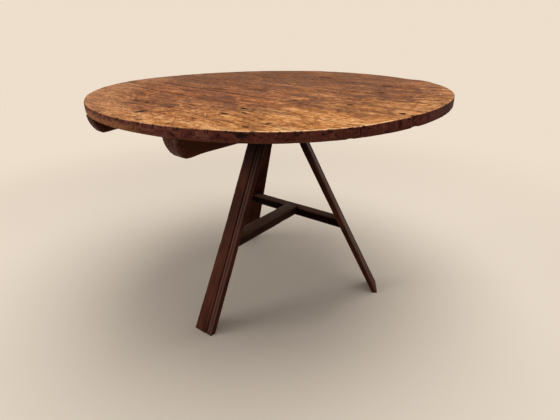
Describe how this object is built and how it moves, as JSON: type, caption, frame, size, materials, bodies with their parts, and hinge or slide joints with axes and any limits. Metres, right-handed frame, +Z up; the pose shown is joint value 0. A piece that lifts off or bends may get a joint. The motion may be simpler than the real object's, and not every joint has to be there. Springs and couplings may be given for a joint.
{
  "type": "round tilt-top dining table",
  "caption": "Round boarded dining table: the top and its bearers tilt about a rail at the head of a splayed tripod tied by a T of stretchers, with a turn button.",
  "frame": {"origin": "on the floor, straight below the centre of the round top", "axes": "+Z up; the two bearers run along Y and the front leg stands toward -Y; the boards and the pivot rail run along X"},
  "size_m": [1.15, 1.15, 0.75],
  "materials": {
    "top_wood": "worn waxed satin",
    "bearer_wood": "old dark stain, dull",
    "leg_wood": "old dark stain, waxed satin",
    "peg_wood": "dark end grain",
    "iron": "dark rusted wrought iron"
  },
  "bodies": {
    "trestle": {"pivot_rail": "leg_wood", "head_block": "leg_wood", "rail_pegs": "peg_wood", "front_leg": "leg_wood", "right_leg": "leg_wood", "left_leg": "leg_wood", "leg_pegs": "peg_wood", "cross_stretcher": "leg_wood", "stem_stretcher": "leg_wood", "stretcher_peg": "peg_wood"},
    "top": {"top_board_1": "top_wood", "top_board_2": "top_wood", "top_board_3": "top_wood", "top_board_4": "top_wood", "top_board_5": "top_wood", "top_board_6": "top_wood", "top_board_7": "top_wood", "top_board_8": "top_wood", "right_bearer": "bearer_wood", "left_bearer": "bearer_wood", "board_nails": "iron", "button_screw": "iron"},
    "button": {"turn_button": "leg_wood"}
  },
  "joints": [
    {"name": "top_tilt", "type": "hinge", "parent": "trestle", "child": "top", "pos_m": [0, 0.034, 0.698], "axis": [-1, 0, 0], "range_deg": [0, 65]},
    {"name": "button_turn", "type": "hinge", "parent": "top", "child": "button", "pos_m": [0.181, -0.014, 0.6657], "axis": [0, 0, 1], "range_deg": [-120, 0]}
  ]
}
